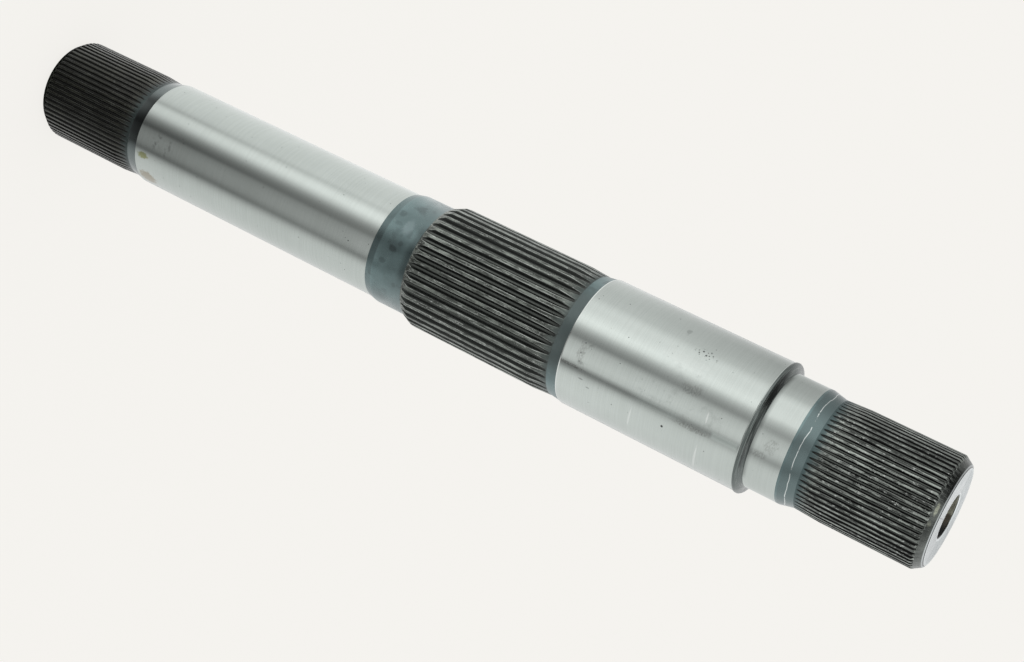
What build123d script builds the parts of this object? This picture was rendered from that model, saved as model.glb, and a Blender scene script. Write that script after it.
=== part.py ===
from build123d import *

import os
from math import acos, cos, pi, radians, sin, sqrt, tan

# Splined shaft, turned and hobbed from one bar: a spline at each end, a larger spline in the
# middle and three ground journals between them.
#
# Millimetres. The axis is Z. The origin is the centre of the far end face, on which the shaft
# stands, and the near end is at the top. One solid, one node: splined_shaft.

# ---- Driving dimensions -------------------------------------------------------------------

# Both ends
end_face_diameter = 54.8
face_bevel_length = 0.8       # narrow bevel next to the end face
end_chamfer_height = 3.1      # main chamfer of the end spline, on the radius
end_chamfer_length = 4.7
bore_diameter = 24.2
bore_depth = 60.0
bore_chamfer = 0.8
drill_point_angle = 118.0

# End splines: involute, 30 degree pressure angle, 24/48 pitch, the same at both ends
end_spline_teeth = 60
end_spline_diameter = 64.0    # over the tooth tips
end_tip_trim = 0.28           # turned off the standard height of the teeth
far_spline_length = 62.0      # end face to the start of the relief ramp
near_spline_length = 56.9
far_spline_turn = -0.3        # degrees from +X to a tooth
near_spline_turn = 0.0

# Middle spline
middle_spline_teeth = 42
middle_spline_diameter = 74.4
middle_tip_trim = 0.0
middle_spline_length = 87.1   # tooth end to the start of the relief ramp
middle_spline_turn = 2.1
tooth_end_angle = 24.0        # bevel on the tooth ends that face the body
tooth_end_step = 0.3          # height left standing under that bevel

# What every spline shares
pressure_angle = 30.0
end_gap_stop = 0.9            # from the end of an end spline's gaps to the groove's floor
middle_run_out_length = 12.5  # rise of the middle gaps' roots up to the groove's floor
run_out_clearance = 0.1       # height of the rising cutter over that floor

# Relief groove at the inner end of each spline: a long ramp, a short floor and a cone
far_ramp_length = 11.5
far_groove_diameter = 62.0
far_cone_length = 6.6
middle_ramp_length = 12.0
middle_groove_diameter = 72.6
middle_cone_length = 5.4
near_ramp_length = 13.7
near_groove_diameter = 62.5
near_cone_length = 7.6
groove_floor_length = 1.0

# Journals, ground
journal_1_diameter = 65.0
journal_1_length = 174.9
journal_2_diameter = 75.0
journal_2_length = 108.9
journal_3_diameter = 66.0
journal_3_length = 20.4
journal_bevel = 0.4           # height of the bevel at the open edges of a journal

# Body between journal 1 and the middle spline
body_diameter = 67.4
body_length = 21.7
body_lead_in_length = 5.0     # slope up from journal 1
body_foot_length = 0.6        # steep slope down to the foot of the middle teeth

# Lip and shoulder between journals 2 and 3
lip_height = 0.5              # over journal 2
lip_length = 1.5
lip_edge_bevel = 0.5
shoulder_face_length = 1.8    # slope down to journal 3
shoulder_foot_bevel = 0.5


# ---- Splines ------------------------------------------------------------------------------

def involute(angle):
    """Involute function of a pressure angle in radians."""
    return tan(angle) - angle


class SplineForm:
    """Sizes of an external involute spline."""

    def __init__(self, teeth, tip_diameter, tip_trim):
        self.teeth = teeth
        self.module = (tip_diameter + 2 * tip_trim) / (teeth + 1)
        self.tip_radius = tip_diameter / 2
        self.form_radius = (teeth - 1) * self.module / 2
        self.root_radius = (teeth - 1.35) * self.module / 2

    def gap_half_angle(self, radius):
        """Half the angle of the gap between two teeth at a radius."""
        pressure = radians(pressure_angle)
        base_radius = self.teeth * self.module / 2 * cos(pressure)
        half_tooth = pi / (2 * self.teeth) + involute(pressure) - involute(acos(base_radius / radius))
        return pi / self.teeth - half_tooth

    def flank_point(self, radius, side=1):
        angle = side * self.gap_half_angle(radius)
        return Vector(radius * cos(angle), radius * sin(angle))


def gap_face(form):
    """Section of one gap, centred on +X: two flanks, a flat root and a mouth outside the tips.

    A flank is the chord of its involute from the form circle to the tips.
    """
    tip = form.flank_point(form.tip_radius)
    foot = form.flank_point(form.form_radius)
    flare = (tip.Y - foot.Y) / (tip.X - foot.X)
    mouth_x = form.tip_radius + form.module
    root_y, mouth_y = (tip.Y + flare * (x - tip.X) for x in (form.root_radius, mouth_x))
    corners = [(form.root_radius, -root_y), (mouth_x, -mouth_y), (mouth_x, mouth_y),
               (form.root_radius, root_y)]
    return make_face(Polyline(*corners, close=True))


def straight_gap(form, open_z, closed_z):
    """Cutter for one gap of even depth between two heights."""
    low_z, high_z = sorted((open_z, closed_z))
    return Pos(0, 0, low_z) * extrude(gap_face(form), amount=high_z - low_z)


def rising_gap(form, open_z, floor_z, floor_radius, run_out_length):
    """Cutter for one gap that rises at its end and fades out where a groove's floor starts.

    It ends over that floor, so nothing beyond the groove is touched.
    """
    lift_z = floor_z - run_out_length
    slope = (floor_radius + run_out_clearance - form.root_radius) / run_out_length
    reach = run_out_length + groove_floor_length / 2
    face = Pos(0, 0, lift_z) * gap_face(form)
    rising = extrude(face, amount=reach * sqrt(1 + slope**2), dir=(slope, 0, 1))
    return straight_gap(form, open_z, lift_z) + rising


def all_gaps(form, turn, cutter):
    """The cutter in every gap of a spline, with a tooth turned by some degrees from +X."""
    half_pitch = 180 / form.teeth
    return [Rot(0, 0, turn + (2 * n + 1) * half_pitch) * cutter for n in range(form.teeth)]


end_form = SplineForm(end_spline_teeth, end_spline_diameter, end_tip_trim)
middle_form = SplineForm(middle_spline_teeth, middle_spline_diameter, middle_tip_trim)

# ---- Radii and heights worked out from the sizes above ------------------------------------

end_face_radius = end_face_diameter / 2
body_radius = body_diameter / 2
journal_1_radius = journal_1_diameter / 2
journal_2_radius = journal_2_diameter / 2
journal_3_radius = journal_3_diameter / 2
lip_radius = journal_2_radius + lip_height
far_floor_radius = far_groove_diameter / 2
middle_floor_radius = middle_groove_diameter / 2
near_floor_radius = near_groove_diameter / 2

chamfer_foot_radius = end_form.tip_radius - end_chamfer_height
end_taper_length = face_bevel_length + end_chamfer_length
tooth_end_radius = middle_form.root_radius - tooth_end_step
tooth_bevel_length = (middle_form.tip_radius - tooth_end_radius) / tan(radians(tooth_end_angle))

far_ramp_z = far_spline_length
far_floor_z = far_ramp_z + far_ramp_length
far_cone_z = far_floor_z + groove_floor_length
journal_1_z = far_cone_z + far_cone_length
body_lead_in_z = journal_1_z + journal_1_length
body_z = body_lead_in_z + body_lead_in_length
tooth_end_z = body_z + body_length
tooth_tip_z = tooth_end_z + tooth_bevel_length
middle_ramp_z = tooth_end_z + middle_spline_length
middle_floor_z = middle_ramp_z + middle_ramp_length
middle_cone_z = middle_floor_z + groove_floor_length
journal_2_z = middle_cone_z + middle_cone_length
lip_z = journal_2_z + journal_2_length
shoulder_z = lip_z + lip_length
journal_3_z = shoulder_z + shoulder_face_length
near_cone_z = journal_3_z + journal_3_length
near_floor_z = near_cone_z + near_cone_length
near_ramp_z = near_floor_z + groove_floor_length
near_spline_z = near_ramp_z + near_ramp_length
shaft_length = near_spline_z + near_spline_length


# ---- Turned blank -------------------------------------------------------------------------

def turned_profile():
    """Half section of the turned blank in the XZ plane, as (radius, height) corners."""
    return [
        (0, 0),
        (end_face_radius, 0),
        (chamfer_foot_radius, face_bevel_length),
        (end_form.tip_radius, end_taper_length),
        (end_form.tip_radius, far_ramp_z),
        (far_floor_radius, far_floor_z),
        (far_floor_radius, far_cone_z),
        (journal_1_radius, journal_1_z),
        (journal_1_radius, body_lead_in_z),
        (body_radius, body_z),
        (body_radius, tooth_end_z - body_foot_length),
        (tooth_end_radius, tooth_end_z),
        (middle_form.tip_radius, tooth_tip_z),
        (middle_form.tip_radius, middle_ramp_z),
        (middle_floor_radius, middle_floor_z),
        (middle_floor_radius, middle_cone_z),
        (journal_2_radius - journal_bevel, journal_2_z),
        (journal_2_radius, journal_2_z + 2 * journal_bevel),
        (journal_2_radius, lip_z - lip_height),
        (lip_radius, lip_z),
        (lip_radius, shoulder_z),
        (journal_3_radius, journal_3_z),
        (journal_3_radius, near_cone_z),
        (near_floor_radius, near_floor_z),
        (near_floor_radius, near_ramp_z),
        (end_form.tip_radius, near_spline_z),
        (end_form.tip_radius, shaft_length - end_taper_length),
        (chamfer_foot_radius, shaft_length - face_bevel_length),
        (end_face_radius, shaft_length),
        (0, shaft_length),
    ]


def circular_edge(part, radius, height):
    """The round edge of a turned part at a radius and a height."""
    return min(part.edges().filter_by(GeomType.CIRCLE),
               key=lambda edge: abs(edge.radius - radius) + abs(edge.arc_center.Z - height))


def turned_blank():
    profile = Polyline(*[(r, 0, z) for r, z in turned_profile()], close=True)
    blank = revolve(make_face(profile), Axis.Z)
    blank = chamfer(circular_edge(blank, journal_3_radius, journal_3_z), shoulder_foot_bevel)
    blank = chamfer(circular_edge(blank, lip_radius, shoulder_z), lip_edge_bevel)
    return blank


def drilled_bore():
    """Blind bore entered from below at the origin: a chamfered mouth, a wall and a drill point."""
    radius = bore_diameter / 2
    point_height = radius / tan(radians(drill_point_angle / 2))
    corners = [
        (0, 0),
        (radius + bore_chamfer, 0),
        (radius, bore_chamfer),
        (radius, bore_depth),
        (0, bore_depth + point_height),
    ]
    return revolve(make_face(Polyline(*[(r, 0, z) for r, z in corners], close=True)), Axis.Z)


# ---- Shaft --------------------------------------------------------------------------------

def splined_shaft():
    shaft = turned_blank()
    far_gap = straight_gap(end_form, 0, far_floor_z - end_gap_stop)
    middle_gap = rising_gap(middle_form, tooth_end_z, middle_floor_z, middle_floor_radius,
                            middle_run_out_length)
    near_gap = straight_gap(end_form, shaft_length, near_ramp_z + end_gap_stop)
    shaft -= all_gaps(end_form, far_spline_turn, far_gap)
    shaft -= all_gaps(middle_form, middle_spline_turn, middle_gap)
    shaft -= all_gaps(end_form, near_spline_turn, near_gap)
    far_bore = drilled_bore()
    near_bore = Pos(0, 0, shaft_length) * Rot(180, 0, 0) * drilled_bore()
    return shaft - [far_bore, near_bore]


os.makedirs("parts", exist_ok=True)
export_step(splined_shaft(), "parts/splined_shaft.step")
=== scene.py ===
from collections import namedtuple
from math import cos, pi, radians, sin, sqrt, tan

import bpy
import numpy as np
from mathutils import Euler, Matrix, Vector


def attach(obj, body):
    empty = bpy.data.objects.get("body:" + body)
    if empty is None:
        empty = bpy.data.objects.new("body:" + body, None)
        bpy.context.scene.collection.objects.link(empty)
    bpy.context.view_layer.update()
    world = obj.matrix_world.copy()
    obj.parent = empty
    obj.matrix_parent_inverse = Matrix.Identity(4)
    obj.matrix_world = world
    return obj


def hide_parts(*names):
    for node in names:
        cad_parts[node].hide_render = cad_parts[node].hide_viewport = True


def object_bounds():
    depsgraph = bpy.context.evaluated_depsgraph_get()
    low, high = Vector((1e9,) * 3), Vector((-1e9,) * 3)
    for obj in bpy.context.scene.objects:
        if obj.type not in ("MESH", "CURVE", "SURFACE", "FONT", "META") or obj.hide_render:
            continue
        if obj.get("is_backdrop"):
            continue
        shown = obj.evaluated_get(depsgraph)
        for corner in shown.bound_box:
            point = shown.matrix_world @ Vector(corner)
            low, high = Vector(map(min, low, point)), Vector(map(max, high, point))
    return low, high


# Splined shaft: the fine skin of the turned and hobbed steel, its finishes, and a small studio.
# The axis is Z and the shaft stands on its far end. Sizes are in millimetres: heights from the
# far end face, and radii from the axis.

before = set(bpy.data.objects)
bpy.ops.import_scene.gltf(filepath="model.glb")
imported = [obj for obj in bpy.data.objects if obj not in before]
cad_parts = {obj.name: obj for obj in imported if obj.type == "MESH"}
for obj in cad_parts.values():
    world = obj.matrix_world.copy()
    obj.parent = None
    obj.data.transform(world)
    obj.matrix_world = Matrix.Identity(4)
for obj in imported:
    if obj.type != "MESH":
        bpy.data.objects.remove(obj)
cad_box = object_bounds()
MM = 0.001


# ---- Sizes of the shaft -------------------------------------------------------------------

LENGTH = 600.0

# Each end. Depths are from the end face.
BORE_R, BORE_DEPTH = 12.1, 60.0
DRILL_POINT = radians(59)          # half angle of the bore's pointed bottom
MOUTH_R, MOUTH_DEPTH = 12.9, 0.8   # the bore's small chamfer
FACE_ROW_R = 20.0                  # a row of points partway across the face
END_FACE_R = 27.4
CHAMFER_R, BEVEL_DEPTH = 28.9, 0.8  # where the narrow bevel meets the main chamfer
END_TAPER = 5.5                    # where the main chamfer meets the tooth tips

# Heights at which the turned form changes. A relief groove has a ramp or cone on each side of
# its floor, and each is named after the spline beside it.
FAR_RAMP, FAR_FLOOR, FAR_CONE = 62.0, 73.5, 74.5
JOURNAL_1 = 81.1
LEAD_IN, BODY, TOOTH_END = 256.0, 261.0, 282.7
MIDDLE_RAMP, MIDDLE_FLOOR, MIDDLE_CONE = 369.8, 381.8, 382.8
JOURNAL_2, JOURNAL_2_EDGE = 388.2, 389.0
LIP, SHOULDER, JOURNAL_3 = 497.1, 498.6, 500.4
COLLAR, NEAR_CONE = 519.4, 520.8
NEAR_FLOOR, NEAR_RAMP, NEAR_SPLINE = 528.4, 529.4, 543.1

FAR_GROOVE_R, MIDDLE_GROOVE_R, NEAR_GROOVE_R = 31.0, 36.3, 31.25
BODY_R = 33.7
JOURNAL_1_R, JOURNAL_2_R, LIP_R, JOURNAL_3_R = 32.5, 37.5, 38.0, 33.0
JOURNAL_2_BEVEL = 0.4              # how far its edge is turned in
LIP_BEVEL = 0.5                    # height of the slope up to the lip

# How far the turned edges are rounded.
SHARP, BROKEN, SOFT, ROUND, TIP_EDGE, BODY_END_EDGE = 0.1, 0.12, 0.3, 0.5, 0.15, 0.2

TIP_R, MIDDLE_TIP_R = 32.0, 37.2
TIP_TRIM = 0.28                    # turned off the standard height of the end splines' teeth
PRESSURE = radians(30)
ROOT_DEPTH = 1.35                  # root diameter = (teeth - 1.35) modules
TOOTH_EDGE = 0.07                  # rounding of the edges between flank and land
TOOTH_BEVEL = radians(24)          # slope of the middle teeth's bevelled ends
BEVEL_FOOT = 0.3                   # how far below the root the bevel starts
BODY_EDGE = 0.6                    # height of the body's slope down to that foot
HOB_RADIUS = 45.0                  # curve of the gaps' run-outs
FAR_RUN_OUT, MIDDLE_RUN_OUT, NEAR_RUN_OUT = 71.0, 371.8, 534.0   # where the hob leaves the root

COLUMNS = 840                      # points around, 14 per end tooth and 20 per middle tooth


# ---- Spline geometry ----------------------------------------------------------------------

def involute(angle):
    """inv(a) = tan(a) - a"""
    return np.tan(angle) - angle


class Spline:
    """External involute spline: module = (tip diameter + twice the trim) / (teeth + 1).

    turn moves the teeth round by some degrees, and steps are the numbers of steps between points
    in half a pitch: in the gap's floor and fillet, up the flank and along the land.
    """

    def __init__(self, teeth, tip_radius, trim, turn, steps):
        self.teeth, self.tip, self.turn = teeth, tip_radius, radians(turn)
        self.module = 2 * (tip_radius + trim) / (teeth + 1)
        self.root = (teeth - ROOT_DEPTH) * self.module / 2
        self.form = (teeth - 1) * self.module / 2
        self.root_steps, self.flank_steps, self.land_steps = steps
        self.form_angle = self.flank_angle(self.form)

    def flank_angle(self, radius):
        """Half angle of the gap: pi/N - (pi/2N + inv(30 deg) - inv(acos(base radius / radius)))"""
        base = self.teeth * self.module / 2 * cos(PRESSURE)
        return pi / (2 * self.teeth) - involute(PRESSURE) + involute(np.arccos(base / radius))

    def gap_angle(self, radius):
        """The flank above the form circle, and below it a fillet to the root, a superellipse:
        angle = form angle * (1 - (1 - share of the height) ^ 3) ^ (1/3)."""
        low = np.clip((radius - self.root) / (self.form - self.root), 0, 1)
        fillet = self.form_angle * (1 - (1 - low) ** 3) ** (1 / 3)
        flank = self.flank_angle(np.maximum(radius, self.form))
        return np.where(radius >= self.form, flank, fillet)

    def half_pitch(self, surface, lift):
        """Angles and radii from the middle of a gap to the middle of a tooth, with depth, rim
        and floor: the depth's share, 1 at the tooth's edge, and 1 on the floor of the gap.

        The gap's own curve, raised by lift, is followed up to the turned surface, and the land
        runs on at the surface's radius. A gap that has run out keeps a hair's depth, so that
        every row has the same number of points.
        """
        least_gap = 0.004
        open_gap = max(min(surface - lift, self.tip) - self.root, least_gap)
        mouth = self.root + open_gap
        edge = min(TOOTH_EDGE, 0.3 * open_gap)
        low_share = min(1.0, (self.form - self.root) / open_gap)
        bottom = np.linspace(0, 1, self.root_steps + 1) ** 0.75
        low = self.root + (1 - (1 - bottom ** 3 * 0.9999) ** (1 / 3)) * open_gap * low_share
        high = np.linspace(low[-1], mouth - edge, self.flank_steps + 1)[1:]
        radii = np.r_[low, high]
        angles = self.gap_angle(radii)
        angles[0] = 0
        land_start = float(self.gap_angle(np.array(mouth))) + edge / surface
        land = np.linspace(land_start, pi / self.teeth, self.land_steps + 1)
        depth = np.r_[(mouth - radii) / (self.tip - self.root), np.zeros(len(land))]
        rim = np.r_[np.zeros(len(radii) - 1), 1, 1, np.zeros(len(land) - 1)]
        floor = np.r_[1, 1, np.zeros(len(depth) - 2)]
        return (np.r_[angles, land], np.r_[radii + lift, np.full(len(land), surface)], depth, rim,
                floor)

    def ring(self, surface, lift):
        """The half pitch, mirrored and repeated round the shaft."""
        half, *rest = self.half_pitch(surface, lift)
        pitch = 2 * pi / self.teeth
        angle = np.r_[half, pitch - half[-2:0:-1]]
        starts = (np.arange(self.teeth) + 0.5) * 2 * pi / self.teeth + self.turn
        angles = (starts[:, None] + angle[None]).ravel()
        return [angles] + [np.tile(np.r_[part, part[-2:0:-1]], self.teeth) for part in rest]


FAR = Spline(60, TIP_R, TIP_TRIM, -0.3, (2, 2, 2))
MIDDLE = Spline(42, MIDDLE_TIP_R, 0.0, 2.1, (3, 3, 3))
NEAR = Spline(60, TIP_R, TIP_TRIM, 0.0, (2, 2, 2))


def hob_lift(distance):
    """Height of the hob's arc at a distance past the start of the run-out: R - sqrt(R^2 - x^2)"""
    x = max(distance, 0.0)
    return HOB_RADIUS - sqrt(HOB_RADIUS ** 2 - x * x)


def far_lift(z):
    return hob_lift(z - FAR_RUN_OUT)


def middle_lift(z):
    return hob_lift(z - MIDDLE_RUN_OUT)


def near_lift(z):
    return hob_lift(NEAR_RUN_OUT - z)


def no_lift(z):
    return 0.0


# ---- Rows of the skin ---------------------------------------------------------------------

BORE, FACE, CHAMFER, FAR_TEETH, MIDDLE_TEETH, NEAR_TEETH, TURNED, GROUND = range(8)

# A ring of points round the shaft. finish is that of the band from this row to the next one.
Row = namedtuple("Row", "z r finish spline lift")
rows = []


def row(z, r, finish, spline=None, lift=0.0):
    rows.append(Row(z, r, finish, spline, lift))


def corner(z, r, before, after, finish, size=BROKEN, spline=None):
    """Two rows that round off a corner: a step of size back and a step on, towards two points."""
    for toward, band in ((before, rows[-1].finish), (after, finish)):
        length = sqrt((toward[0] - z) ** 2 + (toward[1] - r) ** 2)
        step = min(size, 0.45 * length) / length
        row(z + (toward[0] - z) * step, r + (toward[1] - r) * step, band, spline)


def taper(start, end, shares, finish, spline, lift=no_lift):
    """Rows on a cone through a spline, at shares of the way from start to end.

    start and end are each a height and a radius, and so are the points of the functions below.
    """
    for share in shares:
        z = start[0] + (end[0] - start[0]) * share
        row(z, start[1] + (end[1] - start[1]) * share, finish, spline, lift(z))


def shaft_end(flip, spline, teeth, teeth_stop):
    """Bore, end face, bevel and chamfer, from the bore's bottom to the tooth tips.

    flip makes the near end and its rows in the opposite order. teeth_stop is the height at which
    the tips end on their other side.
    """
    def z(depth):
        return LENGTH - depth if flip else depth

    start = len(rows)
    bottom, wall = (z(BORE_DEPTH), BORE_R), (z(MOUTH_DEPTH), BORE_R)
    mouth, face = (z(0), MOUTH_R), (z(0), END_FACE_R)
    bevel, tips = (z(BEVEL_DEPTH), CHAMFER_R), (z(END_TAPER), TIP_R)
    row(z(BORE_DEPTH + BORE_R / tan(DRILL_POINT)), 0.0, BORE)
    row(*bottom, BORE)
    corner(*wall, bottom, mouth, FACE)
    corner(*mouth, wall, face, FACE)
    row(z(0), FACE_ROW_R, FACE)
    corner(*face, mouth, bevel, CHAMFER)
    corner(*bevel, face, tips, CHAMFER)
    root_share = (spline.root - CHAMFER_R) / (TIP_R - CHAMFER_R)
    shares = root_share + (1 - root_share) * np.array([0.005, 0.12, 0.32, 0.56, 0.8])
    taper(bevel, tips, shares, teeth, spline)
    corner(*tips, bevel, (teeth_stop, TIP_R), teeth, TIP_EDGE, spline)
    if flip:                       # each row takes its finish from the one that now follows it
        back = rows[start:][::-1]
        rows[start:] = [now._replace(finish=then.finish)
                        for now, then in zip(back, back[1:] + back[-1:])]


def far_spline():
    tips, floor = (FAR_RAMP, TIP_R), (FAR_FLOOR, FAR_GROOVE_R)
    shaft_end(False, FAR, FAR_TEETH, FAR_RAMP)
    corner(*tips, (END_TAPER, TIP_R), floor, FAR_TEETH, SOFT, FAR)
    taper(tips, floor, (0.25, 0.5, 0.65, 0.78, 0.87, 0.93), FAR_TEETH, FAR, far_lift)
    row(*floor, TURNED)
    row(FAR_CONE, FAR_GROOVE_R, TURNED)


def journal_1_and_body(teeth_foot):
    journal, lead_in = (JOURNAL_1, JOURNAL_1_R), (LEAD_IN, JOURNAL_1_R)
    body, body_end = (BODY, BODY_R), (TOOTH_END - BODY_EDGE, BODY_R)
    corner(*journal, (FAR_CONE, FAR_GROOVE_R), lead_in, GROUND)
    corner(*lead_in, journal, body, TURNED, SOFT)
    corner(*body, lead_in, body_end, TURNED, SOFT)
    corner(*body_end, body, teeth_foot, TURNED, BODY_END_EDGE)


def middle_spline(foot):
    """Bevelled ends from the foot up to the tips, then the teeth and the groove."""
    tips = (TOOTH_END + (MIDDLE.tip - foot[1]) / tan(TOOTH_BEVEL), MIDDLE.tip)
    ramp, floor = (MIDDLE_RAMP, MIDDLE.tip), (MIDDLE_FLOOR, MIDDLE_GROOVE_R)
    row(*foot, MIDDLE_TEETH)
    root_share = BEVEL_FOOT / (MIDDLE.tip - foot[1])
    shares = root_share + (1 - root_share) * np.array([0.005, 0.1, 0.26, 0.45, 0.65, 0.84])
    taper(foot, tips, shares, MIDDLE_TEETH, MIDDLE)
    corner(*tips, foot, ramp, MIDDLE_TEETH, SOFT, MIDDLE)
    corner(*ramp, tips, floor, MIDDLE_TEETH, SOFT, MIDDLE)
    taper(ramp, floor, (0.2, 0.36, 0.5, 0.62, 0.72, 0.81, 0.88, 0.94), MIDDLE_TEETH, MIDDLE,
          middle_lift)
    row(*floor, TURNED)
    row(MIDDLE_CONE, MIDDLE_GROOVE_R, TURNED)


def journals_2_and_3():
    """Journal 2 with a bevelled edge, lip and shoulder, then journal 3 and its groove."""
    bevel, edge = (JOURNAL_2, JOURNAL_2_R - JOURNAL_2_BEVEL), (JOURNAL_2_EDGE, JOURNAL_2_R)
    slope, lip = (LIP - LIP_BEVEL, JOURNAL_2_R), (LIP, LIP_R)
    shoulder, journal_3 = (SHOULDER, LIP_R), (JOURNAL_3, JOURNAL_3_R)
    collar, cone = (COLLAR, JOURNAL_3_R), (NEAR_CONE, JOURNAL_3_R)
    floor = (NEAR_FLOOR, NEAR_GROOVE_R)
    corner(*bevel, (MIDDLE_CONE, MIDDLE_GROOVE_R), edge, GROUND, SHARP)
    corner(*edge, bevel, slope, GROUND)
    corner(*slope, edge, lip, GROUND, SHARP)
    corner(*lip, slope, shoulder, TURNED, SHARP)
    corner(*shoulder, lip, journal_3, TURNED, ROUND)
    corner(*journal_3, shoulder, collar, GROUND, ROUND)
    row(*collar, TURNED)
    corner(*cone, collar, floor, TURNED)
    row(*floor, TURNED)


def near_spline():
    ramp, tips = (NEAR_RAMP, NEAR_GROOVE_R), (NEAR_SPLINE, TIP_R)
    row(*ramp, NEAR_TEETH)
    taper(ramp, tips, (0.06, 0.1, 0.16, 0.26, 0.4, 0.65), NEAR_TEETH, NEAR, near_lift)
    corner(*tips, ramp, (LENGTH - END_TAPER, TIP_R), NEAR_TEETH, SOFT, NEAR)
    shaft_end(True, NEAR, NEAR_TEETH, NEAR_SPLINE)


teeth_foot = (TOOTH_END, MIDDLE.root - BEVEL_FOOT)
far_spline()
journal_1_and_body(teeth_foot)
middle_spline(teeth_foot)
journals_2_and_3()
near_spline()


# ---- Mesh ---------------------------------------------------------------------------------

def ring_arrays(ring):
    """Angles, radii, depths, rims and floors of one row; a plain row is even round the shaft."""
    if ring.spline:
        return ring.spline.ring(ring.r, ring.lift)
    step = 2 * pi / COLUMNS
    half_tooth = 2 * pi / NEAR.teeth * 0.5
    angles = half_tooth + np.arange(COLUMNS) * step
    return [angles, np.full(COLUMNS, ring.r)] + [np.zeros(COLUMNS)] * 3


def grid_faces(count):
    """Quads between count rings, and a fan at each pole. The poles are the last two points."""
    index = np.arange(count * COLUMNS).reshape(count, COLUMNS)
    after = np.roll(index, -1, axis=1)
    quads = np.stack([index[:-1], after[:-1], after[1:], index[1:]], -1).reshape(-1, 4)
    start_pole, end_pole = (np.full(COLUMNS, count * COLUMNS + k) for k in (0, 1))
    start_fan = np.stack([start_pole, after[0], index[0]], -1)
    end_fan = np.stack([end_pole, index[-1], after[-1]], -1)
    return quads.tolist() + start_fan.tolist() + end_fan.tolist()


def skin_mesh():
    """Closed grid: x = r cos a, y = r sin a for every row and column, with a fan at each pole."""
    first, *inner, last = rows
    angle, radius, depth, rim, floor = map(np.array, zip(*map(ring_arrays, inner)))
    height = np.array([ring.z for ring in inner])[:, None] + np.zeros((1, COLUMNS))
    points = np.stack([radius * np.cos(angle), radius * np.sin(angle), height], -1).reshape(-1, 3)
    points = np.concatenate([points, [[0, 0, first.z], [0, 0, last.z]]]) * MM
    faces = grid_faces(len(inner))
    finish = np.concatenate([np.repeat([ring.finish for ring in inner[:-1]], COLUMNS),
                             np.full(2 * COLUMNS, BORE)])
    mesh = bpy.data.meshes.new("shaft_skin")
    mesh.from_pydata(points.tolist(), [], faces)
    for name, values in (("gap_depth", depth), ("tooth_rim", rim), ("gap_floor", floor)):
        layer = mesh.attributes.new(name, "FLOAT", "POINT")
        layer.data.foreach_set("value", np.r_[values.ravel(), 0, 0].astype(np.float32))
    mesh.polygons.foreach_set("material_index", finish.astype(np.int32))
    mesh.polygons.foreach_set("use_smooth", np.ones(len(faces), bool))
    mesh.update()
    return mesh


shaft = bpy.data.objects.new("shaft_skin", skin_mesh())
bpy.context.scene.collection.objects.link(shaft)
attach(shaft, "root")
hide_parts("splined_shaft")


# ---- Finishes -----------------------------------------------------------------------------

# Degrees from +X to the side of the shaft that faces the camera. Places on the surface are given
# by their height and their angle from this side. Some finishes have painted shade and painted
# light at set angles. They are part of the colour, so they stay there in any view and under any
# other light.
FRONT = -88.4

# The sockets of a colour mix node.
MIX_SHARE, MIX_FIRST, MIX_SECOND, MIX_COLOUR = 0, 6, 7, 2


class Nodes:
    """Short calls that add nodes to a material or to the world."""

    def feed(self, value, socket):
        """Links a node's output to a socket, or sets the socket to a number or a colour."""
        if isinstance(value, bpy.types.NodeSocket):
            self.tree.links.new(value, socket)
        elif isinstance(value, tuple) and len(value) == 3 and socket.type == "RGBA":
            socket.default_value = (*value, 1)
        else:
            socket.default_value = value

    def math(self, operation, first, second=0.0):
        node = self.tree.nodes.new("ShaderNodeMath")
        node.operation = operation
        self.feed(first, node.inputs[0])
        self.feed(second, node.inputs[1])
        return node.outputs[0]

    def times(self, *values):
        product = values[0]
        for value in values[1:]:
            product = self.math("MULTIPLY", product, value)
        return product

    def plus(self, *values):
        total = values[0]
        for value in values[1:]:
            total = self.math("ADD", total, value)
        return total

    def blend(self, share, first, second):
        """The first colour where share is 0 and the second where it is 1."""
        node = self.tree.nodes.new("ShaderNodeMix")
        node.data_type = "RGBA"
        self.feed(share, node.inputs[MIX_SHARE])
        self.feed(first, node.inputs[MIX_FIRST])
        self.feed(second, node.inputs[MIX_SECOND])
        return node.outputs[MIX_COLOUR]

    def own_place(self):
        """A point's place in its object, as a vector and as x, y and z."""
        place = self.tree.nodes.new("ShaderNodeTexCoord").outputs["Object"]
        split = self.tree.nodes.new("ShaderNodeSeparateXYZ")
        self.feed(place, split.inputs[0])
        return place, *split.outputs

    def towards(self, azimuth, x, y):
        """x cos(azimuth) + y sin(azimuth): the distance from the axis in that direction."""
        turn = radians(azimuth)
        return self.plus(self.times(x, cos(turn)), self.times(y, sin(turn)))


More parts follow.
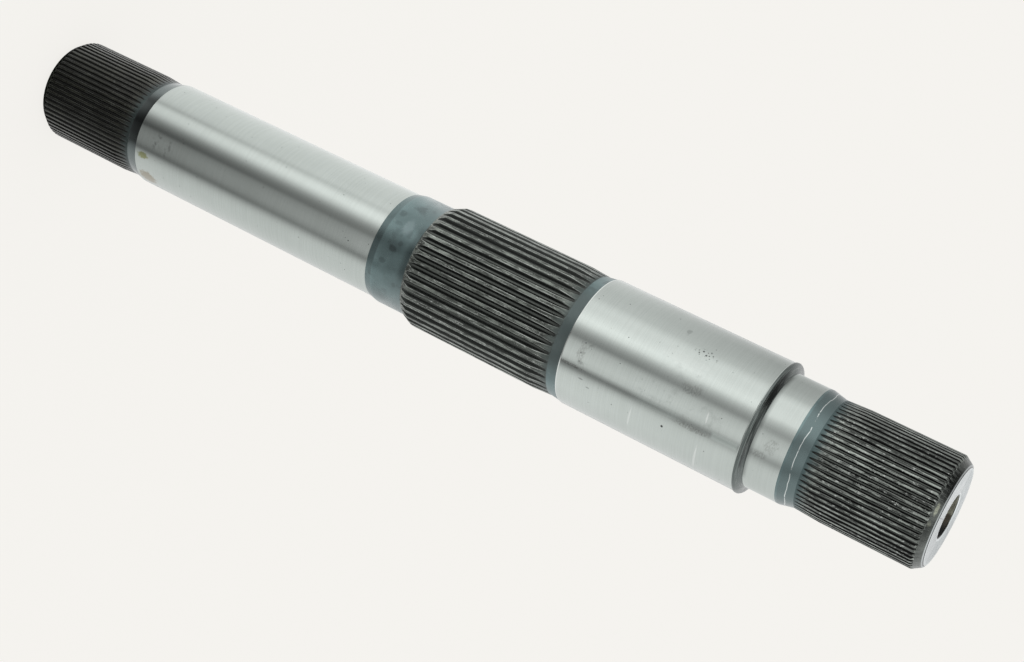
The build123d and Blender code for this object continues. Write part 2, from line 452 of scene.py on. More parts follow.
class Finish(Nodes):
    """A metal finish: a Principled shader and short calls that add the nodes feeding it."""

    def __init__(self, name, metallic=1.0, coat=0.0, coat_roughness=0.2, anisotropic=0.0):
        self.material = bpy.data.materials.new(name)
        self.material.use_nodes = True
        self.tree = self.material.node_tree
        self.shader = self.tree.nodes["Principled BSDF"]
        inputs = self.shader.inputs
        inputs["Metallic"].default_value = metallic
        inputs["Coat Weight"].default_value = coat
        inputs["Coat Roughness"].default_value = coat_roughness
        inputs["Anisotropic"].default_value = anisotropic
        inputs["Anisotropic Rotation"].default_value = 0.25
        if anisotropic:
            tangent = self.tree.nodes.new("ShaderNodeTangent")
            tangent.direction_type, tangent.axis = "RADIAL", "Z"
            self.feed(tangent.outputs[0], inputs["Tangent"])
        self.find_place()

    def find_place(self):
        """Where a point is, in millimetres: its height, its radius, and front and side.

        Those two are its distances from the axis towards 0 and 90 degrees. angle goes round the
        axis in degrees: 0 faces the front, and it grows clockwise from above.
        """
        self.place, x, y, z = self.own_place()
        self.height = self.times(z, 1000)
        squares = self.plus(self.times(x, x), self.times(y, y))
        self.radius = self.times(1000, self.math("SQRT", squares))
        front, side = self.towards(FRONT, x, y), self.towards(FRONT - 90, x, y)
        self.front, self.side = self.times(front, 1000), self.times(side, 1000)
        self.angle = self.math("DEGREES", self.math("ARCTAN2", side, front))

    def ease(self, value, low, high, start=0.0, end=1.0):
        """Goes smoothly from start to end as value goes from low to high."""
        node = self.tree.nodes.new("ShaderNodeMapRange")
        node.interpolation_type = "SMOOTHSTEP"
        for socket, number in zip(node.inputs, (value, low, high, start, end)):
            self.feed(number, socket)
        return node.outputs[0]

    def between(self, value, low, high, soft):
        """1 between low and high, 0 outside, with edges that reach soft further."""
        rise = self.ease(value, low - soft, low)
        return self.times(rise, self.ease(value, high, high + soft, 1, 0))

    def spot(self, angle, height, across, along, ragged=0.0, scale=600, lean=0.0):
        """1 inside an oval patch at an angle and a height.

        across and along are its half sizes in millimetres, and lean turns it by some degrees.
        """
        degree = 0.6               # mm round the surface, near enough for every journal
        sideways = self.times(self.plus(self.angle, -angle), degree)
        lengthways = self.plus(self.height, -height)
        c, s = cos(radians(lean)), sin(radians(lean))
        first = self.plus(self.times(sideways, c / across), self.times(lengthways, s / across))
        second = self.plus(self.times(lengthways, c / along), self.times(sideways, -s / along))
        far = self.math("SQRT", self.plus(self.times(first, first), self.times(second, second)))
        if ragged:
            far = self.plus(far, self.times(self.noise(scale, 4), ragged), -0.5 * ragged)
        return self.ease(far, 0.6, 1.15, 1, 0)

    def marks(self, *spots):
        """The strongest of some patches, each a share followed by the values of spot."""
        strongest = 0.0
        for share, *place in spots:
            patch = self.times(self.spot(*place), share)
            strongest = self.math("MAXIMUM", patch, strongest)
        return strongest

    def noise(self, scale, detail=3.0, stretch=None, shift=0.0, rough=0.55):
        """Noise from 0 to 1. stretch gives its scales along x, y and z."""
        vector = self.place
        if stretch or shift:
            mapping = self.tree.nodes.new("ShaderNodeMapping")
            self.feed(vector, mapping.inputs["Vector"])
            mapping.inputs["Location"].default_value = (shift, 0.6 * shift, -shift)
            mapping.inputs["Scale"].default_value = stretch or (1, 1, 1)
            vector = mapping.outputs[0]
        node = self.tree.nodes.new("ShaderNodeTexNoise")
        self.feed(vector, node.inputs["Vector"])
        for name, value in (("Scale", scale), ("Detail", detail), ("Roughness", rough)):
            node.inputs[name].default_value = value
        return node.outputs[0]

    def specks(self, scale, low, high, share):
        """Small round pits: 1 at the middle of a few cells, 0 away from it.

        Cells above share have one, of a size from low to high.
        """
        node = self.tree.nodes.new("ShaderNodeTexVoronoi")
        self.feed(self.place, node.inputs["Vector"])
        node.inputs["Scale"].default_value = scale
        chance = self.tree.nodes.new("ShaderNodeSeparateColor")
        self.feed(node.outputs["Color"], chance.inputs[0])
        size = self.ease(chance.outputs[0], share, 1.0, low, high)
        return self.ease(self.math("SUBTRACT", size, node.outputs["Distance"]), 0.0, 0.08)

    def rings(self, scale, shift=0.0):
        """Fine lines that run round the shaft: noise much finer along Z than across it."""
        return self.noise(scale, 2.0, (0.02, 0.02, 1), shift)

    def streaks(self, scale, stretch, shift=0.0):
        """Short lines that run along the shaft, the longer the smaller stretch is."""
        return self.noise(scale, 3.0, (1, 1, stretch), shift, 0.6)

    def attribute(self, name):
        node = self.tree.nodes.new("ShaderNodeAttribute")
        node.attribute_name = name
        return node.outputs["Fac"]

    def dull(self, share, coat):
        """Sets the coat, and takes it and the bright grazing reflection away where share is 0."""
        tint = self.blend(share, (0.08, 0.08, 0.08), (1, 1, 1))
        self.feed(tint, self.shader.inputs["Specular Tint"])
        self.feed(self.times(share, coat), self.shader.inputs["Coat Weight"])

    def finish(self, colour, roughness, bump, bump_depth):
        """Feeds the shader. bump is from 0 to 1, and bump_depth is its height in metres."""
        node = self.tree.nodes.new("ShaderNodeBump")
        node.inputs["Strength"].default_value = 1.0
        node.inputs["Distance"].default_value = bump_depth
        self.feed(bump, node.inputs["Height"])
        self.feed(colour, self.shader.inputs["Base Color"])
        self.feed(roughness, self.shader.inputs["Roughness"])
        self.feed(node.outputs[0], self.shader.inputs["Normal"])
        return self.material


OXIDE = (0.105, 0.152, 0.153)      # blue-grey of the turned and heat-treated steel
OXIDE_SHADE = (0.04, 0.056, 0.056)

# Marks, chosen one by one. Each is a share, an angle, a height and half sizes across and along,
# then, where it has them, the raggedness of its edge, the scale of the rags and its lean.
CHAMFER_OIL = (
    (0.75, 1, 597.3, 4.0, 0.9, 1.1),
    (0.35, -14, 596.9, 2.2, 0.9, 1.0))
BODY_BLOTCHES = (
    (0.6, -4, 270, 2.2, 2.8, 1.6, 260),
    (0.45, 47, 270.5, 3.4, 3.8, 1.8, 260),
    (0.4, -19, 266, 1.6, 2.4, 1.8, 260),
    (0.35, 33, 264, 2.6, 2.2, 1.8, 260),
    (0.35, 3, 273, 1.8, 1.6, 1.8, 260),
    (0.3, -38, 277, 2.0, 1.5, 1.6, 260))
# A painted sheen: a pale patch on the body.
BODY_SHEEN = (0.3, 22, 272, 6, 3.5, 0.9, 150)
JOURNAL_SMEARS = (
    (0.55, -14, 100, 8, 9, 0.8, 90),
    (0.15, -16, 460, 9, 30, 0.8, 60),
    (0.35, -12, 400, 9, 5, 0.8, 90),
    (0.12, 10, 455, 5, 20, 0.8, 90))
# The first two are thin dark lines along journal 2 at about -25 degrees, and the rest are grime.
JOURNAL_GRIME_AND_LINES = (
    (0.4, -28.2, 468.5, 1.6, 12, 0.4, 300),
    (0.6, -24.8, 394, 0.9, 12, 0.6, 300),
    (0.3, -14, 511, 4, 4, 1.8, 250),
    (0.3, -25, 506, 2.2, 5, 1.6, 300),
    (0.3, 1, 462, 3.0, 7, 1.8, 250),
    (0.3, -12, 399, 6, 2.5, 1.8, 250))
JOURNAL_PALE_MARKS = (
    (0.6, -14, 475.6, 3.2, 0.5, 0.5, 500, -6),
    (0.5, -56, 474.5, 10, 0.7, 0.6, 400, 4),
    (0.4, -47, 434.5, 7, 0.6, 0.6, 400, 5),
    (0.1, 20, 452, 4.5, 14, 1.6, 250))
JOURNAL_PITTED = (0.8, 32.3, 459.5, 2.8, 6.5, 0.8)
JOURNAL_DOTS = (
    (1, -39, 453.8, 0.75, 0.8, 0.5, 900),
    (0.8, -17, 241.2, 0.45, 0.5, 0.4, 900),
    (0.7, -3, 399, 0.4, 0.4, 0.4, 900),
    (0.5, -12, 398.6, 0.5, 0.5, 0.6, 900),
    (0.5, -19, 399.3, 0.4, 0.5, 0.6, 900),
    (0.4, -33, 403, 0.5, 1.6, 0.8, 700),
    (0.4, -38, 408, 0.4, 1.3, 0.8, 700),
    (0.25, 46, 444, 2.2, 1.6, 1.6, 500))


def bore_steel():
    """Drilled wall: olive and brown oil film over dark steel, with the drill's rings, painted
    light on one side and painted shade on the other.
    """
    f = Finish("bore_steel", metallic=0.8, coat=0.3)
    # The oil film, with painted light that makes it paler towards one side of the bore.
    film = f.ease(f.plus(f.noise(150, 4), f.ease(f.side, -2, 9, -0.25, 0.25)), 0.35, 0.65)
    colour = f.blend(film, (0.06, 0.05, 0.033), (0.30, 0.30, 0.23))
    drilled = f.times(f.ease(f.rings(900), 0.4, 0.7), 0.5)
    colour = f.blend(drilled, colour, (0.05, 0.05, 0.045))
    # Painted shade down the other side of the bore.
    colour = f.blend(f.ease(f.side, -1.5, -7.5), colour, (0.008, 0.008, 0.007))
    return f.finish(colour, f.ease(f.noise(200), 0.3, 0.7, 0.32, 0.5), f.rings(700), 0.00003)


def face_steel():
    """Faced end: fine rings about the axis, two scratches and a bright ring round the bore.

    The back half has painted light that makes it paler than the front one, with a painted darker
    line between them.
    """
    f = Finish("face_steel", coat=0.1)
    colour = f.blend(f.ease(f.noise(120, 5), 0.3, 0.7), (0.47, 0.51, 0.52), (0.57, 0.61, 0.61))
    # Painted light on the back half of the face.
    back = f.times(f.ease(f.front, -0.6, 0.6), 0.35)
    colour = f.blend(back, colour, (0.8, 0.82, 0.82))
    # Painted shade: a darker line across the face between the two halves.
    middle = f.times(f.between(f.front, -1.0, 0.2, 0.6), f.ease(f.radius, 12, 15))
    colour = f.blend(f.times(middle, 0.3), colour, (0.25, 0.29, 0.3))
    rim, mouth = f.times(f.ease(f.radius, 25.5, 26.8), 0.7), f.between(f.radius, 12.6, 13.6, 0.25)
    colour = f.blend(f.math("MAXIMUM", rim, mouth), colour, (0.78, 0.82, 0.82))
    # Painted shade at the edge down into the bore.
    inside = f.times(f.between(f.radius, 11.0, 12.5, 0.1), 0.9)
    colour = f.blend(inside, colour, (0.03, 0.03, 0.028))
    nick = f.times(f.between(f.side, -2.6, -2.2, 0.3), f.between(f.front, 15, 26, 1.0))
    slant = f.plus(f.side, f.times(f.front, -0.35))
    scratch = f.times(f.between(slant, -0.6, -0.2, 0.25), f.between(f.front, -24, -15, 1.0))
    colour = f.blend(f.times(f.math("MAXIMUM", nick, scratch), 0.6), colour, (0.2, 0.18, 0.2))
    wave = f.math("SINE", f.times(f.radius, 5.0))
    return f.finish(colour, f.ease(f.noise(300, 4), 0.3, 0.7, 0.24, 0.36), wave, 0.000004)


def chamfer_steel():
    """Turned chamfer and bevel: smooth and dark, with a pale line between and an oily smear."""
    f = Finish("chamfer_steel", coat_roughness=0.15)
    colour = f.blend(f.ease(f.noise(140, 4), 0.35, 0.7), (0.10, 0.11, 0.102), (0.15, 0.162, 0.15))
    colour = f.blend(f.marks(*CHAMFER_OIL), colour, (0.40, 0.42, 0.33))
    colour = f.blend(f.between(f.radius, 28.15, 28.75, 0.25), colour, (0.42, 0.45, 0.45))
    colour = f.blend(f.ease(f.radius, 28.15, 27.95), colour, (0.02, 0.022, 0.022))
    near = f.ease(f.height, 10, 20)
    colour = f.blend(near, (0.1, 0.107, 0.095), colour)
    f.dull(near, 0.3)
    rough = f.ease(f.noise(250), 0.3, 0.7, 0.24, 0.36)
    return f.finish(colour, rough, f.rings(2500), 0.000004)


def teeth_steel(name, land, flank, root, texture, painted_glints, wear_and_highlight, fringe, groove, oxide, coat, haze_and_side_light):
    """Hobbed teeth: streaked lands, painted shade down the flanks and into the gaps, painted light
    on the roots, and bright edges that are partly wear and partly a painted highlight.

    texture, the glint share (painted glint spots), the edge share (wear and a painted highlight)
    and fringe (painted shade on the outer part of a land) are shares. The side-light share paints
    the lands at one side paler, as painted light. groove gives the heights at which the colour has
    turned into the groove's oxide and at which it is the teeth's.
    """
    f = Finish(name, metallic=0.92, coat_roughness=0.25)
    depth, rim = f.attribute("gap_depth"), f.attribute("tooth_rim")
    speckle = f.noise(1100, 4, (1, 1, 0.4), rough=0.7)
    long_streak, streak = f.streaks(520, 0.09, 9.0), f.streaks(1100, 0.14)
    light, dark = (tuple(c * k for c in land) for k in (1.35, 0.65))
    colour = f.blend(f.ease(f.noise(60, 4), 0.35, 0.65), dark, light)
    shade = f.math("MAXIMUM", f.ease(streak, 0.46, 0.62), f.ease(long_streak, 0.5, 0.62))
    colour = f.blend(f.times(shade, texture), colour, tuple(c * 0.15 for c in land))
    own = f.ease(f.plus(f.height, f.times(f.noise(400, 3, shift=5.0), 5.0), -2.5), *groove)
    # Painted shade on the outer part of each land, next to the gap.
    colour = f.blend(f.times(f.ease(rim, 0.15, 0.8), fringe), colour, flank)
    colour = f.blend(own, oxide, colour)
    # Painted glints: bright spots on the lands.
    bright = f.times(f.ease(speckle, 0.54, 0.66), f.ease(f.noise(130, 3, shift=2.0), 0.4, 0.6),
                     painted_glints, own)
    colour = f.blend(bright, colour, (0.7, 0.74, 0.7))
    # Bright edges: wear, and a painted highlight along the tooth edges.
    edge = f.times(f.ease(rim, 0.3, 0.9), f.ease(f.streaks(420, 0.16, 4.0), 0.4, 0.6), wear_and_highlight, own)
    colour = f.blend(edge, colour, (0.62, 0.66, 0.62))
    # Painted shade down the flanks and into the gaps.
    colour = f.blend(f.ease(depth, 0.0, 0.2), colour, flank)
    # Painted light on the floor of each gap.
    floor = f.times(f.ease(f.attribute("gap_floor"), 0.8, 1.0), f.ease(depth, 0.1, 0.8))
    colour = f.blend(floor, colour, root)
    # Painted light: the lands at one side are paler.
    painted_side_light = f.times(f.between(f.angle, 66, 92, 18), f.ease(depth, 0.2, 0.0), own, haze_and_side_light)
    colour = f.blend(painted_side_light, colour, (0.5, 0.54, 0.5))
    f.dull(f.ease(f.height, 4.5, 6.5), coat)
    rough = f.ease(speckle, 0.3, 0.7, 0.32, 0.47)
    return f.finish(colour, rough, f.plus(f.times(speckle, 0.6), streak), 0.00003)


def far_teeth():
    return teeth_steel(
        "far_teeth", land=(0.036, 0.0375, 0.026), flank=(0.006, 0.0065, 0.004),
        root=(0.006, 0.0065, 0.004), texture=0.5, painted_glints=0.1, wear_and_highlight=0.12, fringe=0.2,
        groove=(73.0, 66.0), oxide=(0.046, 0.064, 0.062), coat=0.6, haze_and_side_light=0.0)


def middle_teeth():
    return teeth_steel(
        "middle_teeth", land=(0.2, 0.222, 0.198), flank=(0.035, 0.039, 0.036),
        root=(0.09, 0.1, 0.09), texture=0.8, painted_glints=0.7, wear_and_highlight=0.8, fringe=0.2,
        groove=(383.0, 373.0), oxide=(0.09, 0.111, 0.105), coat=0.3, haze_and_side_light=0.2)


def near_teeth():
    return teeth_steel(
        "near_teeth", land=(0.35, 0.385, 0.35), flank=(0.003, 0.003, 0.003),
        root=(0.085, 0.094, 0.085), texture=1.0, painted_glints=1.0, wear_and_highlight=0.4, fringe=1.0,
        groove=(530.0, 537.5), oxide=(0.095, 0.137, 0.138), coat=0.15, haze_and_side_light=0.4)


def body_colour(f):
    """Blue-grey, mottled with darker blotches, and darker on the slope up from journal 1."""
    cloud = f.ease(f.noise(45, 5), 0.35, 0.65)
    colour = f.blend(cloud, tuple(c * 1.35 for c in OXIDE), tuple(c * 1.9 for c in OXIDE))
    blotch = f.times(f.ease(f.noise(110, 3, shift=3.0), 0.6, 0.68), 0.28)
    blotch = f.math("MAXIMUM", blotch, f.marks(*BODY_BLOTCHES))
    colour = f.blend(blotch, colour, (0.045, 0.062, 0.064))
    grain = f.times(f.ease(f.noise(900, 3), 0.6, 0.75), 0.3)
    colour = f.blend(grain, colour, (0.32, 0.37, 0.36))
    lead_in = f.times(f.between(f.height, 255, 260.2, 1.0), 0.3)
    return f.blend(lead_in, colour, (0.035, 0.045, 0.044))


def groove_colour(f, colour, far_groove, middle_groove):
    """The far and middle grooves, each with a shade on its front."""
    colour = f.blend(far_groove, colour, (0.16, 0.192, 0.188))
    shade = f.times(far_groove, 0.75, f.between(f.angle, -13, 26, 15))
    colour = f.blend(shade, colour, (0.02, 0.024, 0.023))
    shade = f.times(middle_groove, 0.8, f.between(f.angle, -28, 28, 26))
    return f.blend(shade, colour, (0.085, 0.105, 0.101))


def lip_colour(f, colour):
    """The lip and shoulder between journals 2 and 3, with a shade on the shoulder's front."""
    lip = f.between(f.height, 496.9, 501.0, 0.1)
    colour = f.blend(lip, colour, (0.125, 0.148, 0.14))
    shade = f.times(lip, f.ease(f.radius, 37.1, 36.6), f.between(f.angle, -35, 46, 25))
    shade = f.times(shade, f.ease(f.rings(3000, 5.0), 0.25, 0.6, 0.6, 1.0))
    dark = f.blend(f.ease(f.radius, 36.5, 34), (0.026, 0.031, 0.03), (0.06, 0.07, 0.068))
    colour = f.blend(shade, colour, dark)
    streak = f.times(f.ease(f.rings(5000, 2.0), 0.55, 0.66), lip, 0.3)
    return f.blend(streak, colour, (0.5, 0.53, 0.5))


def body_shades(f, colour):
    """A painted sheen on the body, and shades on its lower side and at the foot of the teeth."""
    colour = f.blend(f.marks(BODY_SHEEN), colour, (0.33, 0.41, 0.42))
    side = f.times(f.between(f.height, 263, 282, 3.0), f.between(f.angle, -75, -40, 12))
    colour = f.blend(f.times(side, 0.22), colour, OXIDE_SHADE)
    foot = f.times(f.between(f.height, 281.0, 282.5, 4.5), f.between(f.angle, -24, 20, 14))
    return f.blend(f.times(foot, 0.5), colour, OXIDE_SHADE)


def near_cone_colour(f, colour):
    """The near groove, with a broken bright line that wanders round it."""
    near_cone = f.between(f.height, 520.8, 535, 0.4)
    colour = f.blend(f.times(near_cone, 0.8), colour, (0.14, 0.19, 0.19))
    wander = f.plus(f.height, f.times(f.noise(55, 3, shift=1.0), -5.0), -522.1)
    broken = f.ease(f.noise(220, 2, shift=7.0), 0.36, 0.46)
    line = f.times(f.between(wander, -0.12, 0.12, 0.16), broken)
    return f.blend(f.times(line, near_cone), colour, (0.75, 0.8, 0.78))


def turned_steel():
    """Turned and oxidised body, grooves, lip and shoulder."""
    f = Finish("turned_steel", coat=0.6, coat_roughness=0.3)
    far_groove = f.between(f.height, 70, 82, 1.0)
    middle_groove = f.between(f.height, 381, 388, 0.8)
    colour = groove_colour(f, body_colour(f), far_groove, middle_groove)
    colour = body_shades(f, lip_colour(f, colour))
    colour = near_cone_colour(f, colour)
    rough = f.plus(f.ease(f.noise(160), 0.3, 0.7, 0.24, 0.34), f.times(middle_groove, 0.15),
                   f.times(far_groove, -0.12))
    return f.finish(colour, rough, f.rings(2200), 0.000004)


def journal_stains_and_painted_light(f, colour):
    """Grime and thin dark lines, pale marks, stains, painted light on journal 2 (a pale strip and
    its bevelled edge), and a shade at journal 3's foot.
    """
    grime_and_lines = f.times(f.marks(*JOURNAL_GRIME_AND_LINES),
                    f.ease(f.noise(700, 4, (1, 1, 2), shift=8.0), 0.36, 0.58))
    colour = f.blend(grime_and_lines, colour, (0.2, 0.2, 0.185))
    colour = f.blend(f.marks(*JOURNAL_PALE_MARKS), colour, (0.85, 0.88, 0.85))
    # Painted light: pale strips along journal 2 at about -25 degrees, over two stretches of it.
    strip = f.math("MAXIMUM", f.times(f.between(f.height, 482.0, 495, 1.8), 0.9),
                   f.times(f.between(f.height, 440, 457, 9.0), 0.4))
    strip = f.times(strip, f.between(f.angle, -26.5, -24.3, 2.8))
    colour = f.blend(strip, colour, (0.81, 0.9, 0.85))
    colour = f.blend(f.spot(-34.8, 87.3, 2.6, 4.0, 1.3), colour, (0.34, 0.36, 0.2))
    brown = f.times(f.spot(-65, 89, 6.5, 7.0, 1.2), 0.8)
    colour = f.blend(brown, colour, (0.35, 0.31, 0.23))
    # A painted highlight along journal 2's bevelled edge.
    bevel = f.times(f.between(f.height, 388.35, 388.9, 0.12), 0.7)
    colour = f.blend(bevel, colour, (0.9, 0.93, 0.9))
    foot = f.plus(f.times(f.between(f.angle, -50, 56, 14), 0.6),
                  f.times(f.between(f.angle, 50, 68, 10), 0.25))
    foot = f.times(foot, f.between(f.height, 499.0, 500.4, 3.2))
    return f.blend(foot, colour, (0.1, 0.11, 0.105))


def journal_pits(f):
    """1 in small pits all over, in one pitted patch, and in some dots."""
    patch = f.times(f.specks(800, 0.0, 0.55, 0.4), f.marks(JOURNAL_PITTED))
    pits = f.math("MAXIMUM", patch, f.times(f.specks(420, 0.0, 0.17, 0.8), 0.8))
    return f.math("MAXIMUM", pits, f.marks(*JOURNAL_DOTS))


def ground_steel():
    """Ground journals: bright steel with faint marks round the shaft, stains, pits, scratches."""
    f = Finish("ground_steel", anisotropic=0.9)
    line = f.rings(1500)
    colour = f.blend(f.ease(line, 0.35, 0.65), (0.577, 0.625, 0.593), (0.602, 0.652, 0.62))
    haze_and_side_light = f.times(f.ease(f.noise(30, 4), 0.4, 0.7), 0.1)
    colour = f.blend(haze_and_side_light, colour, (0.40, 0.44, 0.41))
    smear = f.times(f.ease(f.noise(260, 4, shift=3.0), 0.5, 0.72), f.marks(*JOURNAL_SMEARS))
    colour = f.blend(smear, colour, (0.16, 0.17, 0.16))
    colour = journal_stains_and_painted_light(f, colour)
    colour = f.blend(journal_pits(f), colour, (0.05, 0.052, 0.05))
    rough = f.plus(f.ease(f.noise(40), 0.3, 0.7, 0.13, 0.17), f.times(smear, 0.15))
    return f.finish(colour, rough, line, 0.0000004)


# In the order of the finishes' numbers above.
for finish in (bore_steel, face_steel, chamfer_steel, far_teeth, middle_teeth, near_teeth,
               turned_steel, ground_steel):
    shaft.data.materials.append(finish())


# ---- Studio -------------------------------------------------------------------------------

PALE = (0.921, 0.905, 0.871, 1)
TENT_RADIUS = 0.3                  # in metres, as are all sizes of the studio
TENT_BOTTOM, TENT_ROOF = -1.2, 1.6
TENT_COLUMNS = 128
FLOOR_HALF = 10.0
FLOOR_GLOW = 0.9                   # share of the floor that shows its plain colour

# Light that each side of the tent gives, by the angle on the shaft at which its front shows it.
# Each level of the tent turns into the next between two heights, in metres. The bands are set for
# the view from the front. Where -90 and 90 meet, behind the shaft, the light has a step.
TENT_FOOT = ((-90, 0.9), (0, 0.75), (90, 0.9))
TENT_BASE = ((-90, 0.95), (-60, 0.8), (-45, 0.55), (-35, 0.3), (-27, 0.12), (-18, 0.06), (0, 0.05),
             (18, 0.06), (27, 0.12), (33, 0.2), (42, 0.6), (52, 0.85), (90, 1.0))
TENT_LOW = ((-90, 0.75), (-60, 0.78), (-42, 0.71), (-37, 0.62), (-33, 0.48), (-30, 0.32),
            (-27, 0.1), (-25, 0.15), (-21, 0.24), (-15, 0.275), (-10, 0.27), (-5, 0.21),
            (-1.5, 0.07), (1, 0.1), (4, 0.18), (7, 0.28), (10, 0.45), (13, 0.68), (17, 0.83),
            (22, 0.86), (25, 0.68), (27, 0.5), (30, 0.68), (35, 0.8), (45, 0.88), (60, 0.93),
            (90, 1.0))
TENT_MIDDLE = ((-90, 0.76), (-65, 0.79), (-42, 0.77), (-36, 0.73), (-32, 0.6), (-29, 0.42),
               (-26, 0.28), (-23, 0.36), (-18, 0.43), (-12, 0.42), (-6, 0.36), (-2, 0.24),
               (1, 0.27), (4, 0.34), (7, 0.5), (10, 0.75), (13, 0.98), (16, 1.17), (20, 1.16),
               (24, 0.95), (27, 0.78), (31, 0.9), (40, 0.88), (65, 0.96), (90, 1.0))
TENT_HIGH = ((-90, 0.78), (-65, 0.84), (-50, 0.91), (-40, 0.89), (-35, 0.84), (-31, 0.62),
             (-28, 0.3), (-26, 0.18), (-24, 0.42), (-21, 0.8), (-16, 0.87), (-11, 0.8), (-6, 0.68),
             (-3, 0.46), (-1, 0.31), (2, 0.38), (5, 0.54), (8, 0.8), (11, 1.12), (15, 1.24),
             (19, 1.12), (24, 1.02), (30, 1.0), (34, 0.9), (38, 0.77), (50, 0.74), (62, 0.82),
             (90, 1.0))
TENT_TOP = ((-90, 0.76), (-65, 0.79), (-40, 0.8), (-35, 0.77), (-31, 0.65), (-28, 0.5),
            (-26, 0.44), (-23, 0.55), (-20, 0.7), (-15, 0.8), (-10, 0.76), (-5, 0.65), (-2, 0.5),
            (0, 0.46), (3, 0.55), (7, 0.76), (11, 1.05), (15, 1.07), (22, 1.03), (28, 1.03),
            (32, 0.9), (36, 0.7), (45, 0.56), (58, 0.5), (70, 0.6), (90, 0.95))
TENT_CEILING = ((-90, 0.95), (-70, 1.2), (-55, 1.1), (-42, 0.65), (-30, 0.3), (-18, 0.35),
                (-10, 1.0), (0, 1.2), (8, 1.0), (15, 0.25), (24, 0.05), (54, 0.04), (64, 0.3),
                (72, 0.7), (90, 0.9))
TENT_LEVELS = ((TENT_BASE, -0.78, -0.66), (TENT_LOW, -0.33, -0.22), (TENT_MIDDLE, -0.17, 0.04),
               (TENT_HIGH, 0.06, 0.24), (TENT_TOP, 0.25, 0.37), (TENT_CEILING, 0.7, 0.8))


class Glow(Nodes):
    """The light that a stage material or the world gives off."""

    def __init__(self, tree, output="ShaderNodeOutputMaterial"):
        tree.nodes.clear()
        self.tree = tree
        self.output = tree.nodes.new(output)
        self.camera_ray = tree.nodes.new("ShaderNodeLightPath").outputs["Is Camera Ray"]

    def node(self, kind, *values):
        """A node of some kind, with its first inputs fed in order."""
        node = self.tree.nodes.new(kind)
        for socket, value in zip(node.inputs, values):
            self.feed(value, socket)
        return node.outputs[0]

    def levels(self, share, stops):
        """Grey levels between stops, which are shares of the way round and brightnesses."""
        node = self.tree.nodes.new("ShaderNodeValToRGB")
        elements = node.color_ramp.elements
        stops = sorted(stops)
        while len(elements) < len(stops):
            elements.new(0.5)
        for element, (position, level) in zip(elements, stops):
            element.position = position
            element.color = (level, level, level, 1)
        self.feed(share, node.inputs[0])
        return node.outputs[0]

    def finish(self, surface):
        self.feed(surface, self.output.inputs["Surface"])


def stage_material(name):
    material = bpy.data.materials.new(name)
    material.use_nodes = True
    return material, Glow(material.node_tree)


def stage_object(name, mesh, *materials):
    """An object that lights or carries the shaft and isn't part of it."""
    thing = bpy.data.objects.new(name, mesh)
    bpy.context.scene.collection.objects.link(thing)
    for material in materials:
        mesh.materials.append(material)
    return thing


def tent_stops(bands):
    """A band seen at angle t on the shaft comes from the azimuth FRONT - 2 t.

    The azimuth is given as a share of a turn.
    """
    return [(0.5 - angle / 180, level) for angle, level in bands]


def studio_world():
    world = bpy.data.worlds.new("studio")
    world.use_nodes = True
    glow = Glow(world.node_tree, "ShaderNodeOutputWorld")
    soft = glow.node("ShaderNodeBackground", (0.9, 0.9, 0.89, 1), 1.0)
    plain = glow.node("ShaderNodeBackground", PALE, 1.0)
    glow.finish(glow.node("ShaderNodeMixShader", glow.camera_ray, soft, plain))
    world.cycles_visibility.glossy = False
    bpy.context.scene.world = world


def tent_mesh():
    """Cylinder round the shaft: x = R cos a, y = R sin a. Its flat ends are the last two faces."""
    angle = np.arange(TENT_COLUMNS) * 2 * pi / TENT_COLUMNS
    ring = np.stack([np.cos(angle), np.sin(angle)], -1) * TENT_RADIUS
    points = np.concatenate([np.c_[ring, np.full(TENT_COLUMNS, z)]
                             for z in (TENT_BOTTOM, TENT_ROOF)])
    index = np.arange(TENT_COLUMNS)
    after = np.roll(index, -1)
    mesh = bpy.data.meshes.new("light_tent")
    sides = np.stack([after, index, index + TENT_COLUMNS, after + TENT_COLUMNS], -1)
    ends = [(index[::-1] + TENT_COLUMNS).tolist(), index.tolist()]
    mesh.from_pydata(points.tolist(), [], sides.tolist() + ends)
    for face in list(mesh.polygons)[TENT_COLUMNS:]:
        face.material_index = 1
    return mesh


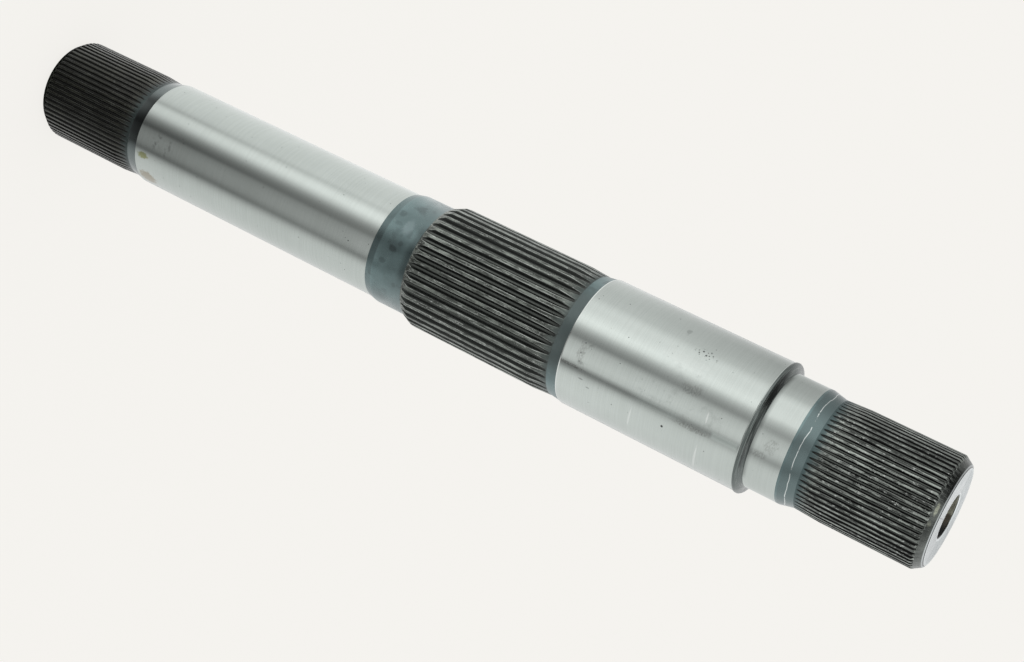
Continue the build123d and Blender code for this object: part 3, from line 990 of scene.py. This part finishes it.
def tent_paper():
    """Glow that changes round the tent, by the angle from FRONT, and from level to level."""
    material, glow = stage_material("tent_paper")
    _, x, y, z = glow.own_place()
    front, side = glow.towards(FRONT, x, y), glow.towards(FRONT + 90, x, y)
    azimuth = glow.math("ARCTAN2", side, front)
    share = glow.node("ShaderNodeMapRange", azimuth, -pi, pi, 0.0, 1.0)
    light = glow.levels(share, tent_stops(TENT_FOOT))
    for bands, low, high in TENT_LEVELS:
        rise = glow.node("ShaderNodeMapRange", z, low, high, 0.0, 1.0)
        light = glow.blend(rise, light, glow.levels(share, tent_stops(bands)))
    glow.finish(glow.node("ShaderNodeEmission", light, 1.0))
    return material


def tent_ends():
    material, glow = stage_material("tent_ends")
    glow.finish(glow.node("ShaderNodeEmission", (0.85, 0.86, 0.85, 1), 1.0))
    return material


def light_tent():
    """Paper tent that only reflections show: soft bands along the shaft, darker low in front."""
    tent = stage_object("light_tent", tent_mesh(), tent_paper(), tent_ends())
    tent.visible_camera = False
    tent.visible_diffuse = False
    tent.visible_shadow = False
    tent.visible_transmission = False
    tent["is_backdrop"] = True


def floor_paper():
    material, glow = stage_material("floor_paper")
    lit = glow.node("ShaderNodeBsdfDiffuse", PALE)
    plain = glow.node("ShaderNodeEmission", PALE)
    seen = glow.times(glow.camera_ray, FLOOR_GLOW)
    glow.finish(glow.node("ShaderNodeMixShader", seen, lit, plain))
    return material


def pale_floor():
    """Flat square at the height of the far end face."""
    mesh = bpy.data.meshes.new("floor")
    corners = [(x * FLOOR_HALF, y * FLOOR_HALF, 0)
               for x, y in ((-1, -1), (1, -1), (1, 1), (-1, 1))]
    mesh.from_pydata(corners, [], [(0, 1, 2, 3)])
    floor = stage_object("floor", mesh, floor_paper())
    floor.visible_glossy = False
    floor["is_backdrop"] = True


def studio_camera():
    """Long, shifted lens in front of the shaft, above its near end and turned on its side."""
    data = bpy.data.cameras.new("camera")
    data.sensor_width = 36
    data.lens = 64.3
    data.shift_x = 0.0708
    data.shift_y = -0.0318
    data.clip_end = 50
    camera = bpy.data.objects.new("camera", data)
    camera.location = (0.02664, -0.95382, 0.72437)
    camera.rotation_euler = Euler((radians(-44.780), radians(-54.629), radians(141.214)))
    bpy.context.scene.collection.objects.link(camera)
    bpy.context.scene.camera = camera


studio_world()
light_tent()
pale_floor()
studio_camera()
bpy.context.scene.view_settings.view_transform = "Standard"

visual_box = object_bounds()
sizes = {name: [list(map(float, corner)) for corner in box]
         for name, box in (("cad", cad_box), ("visual", visual_box))}
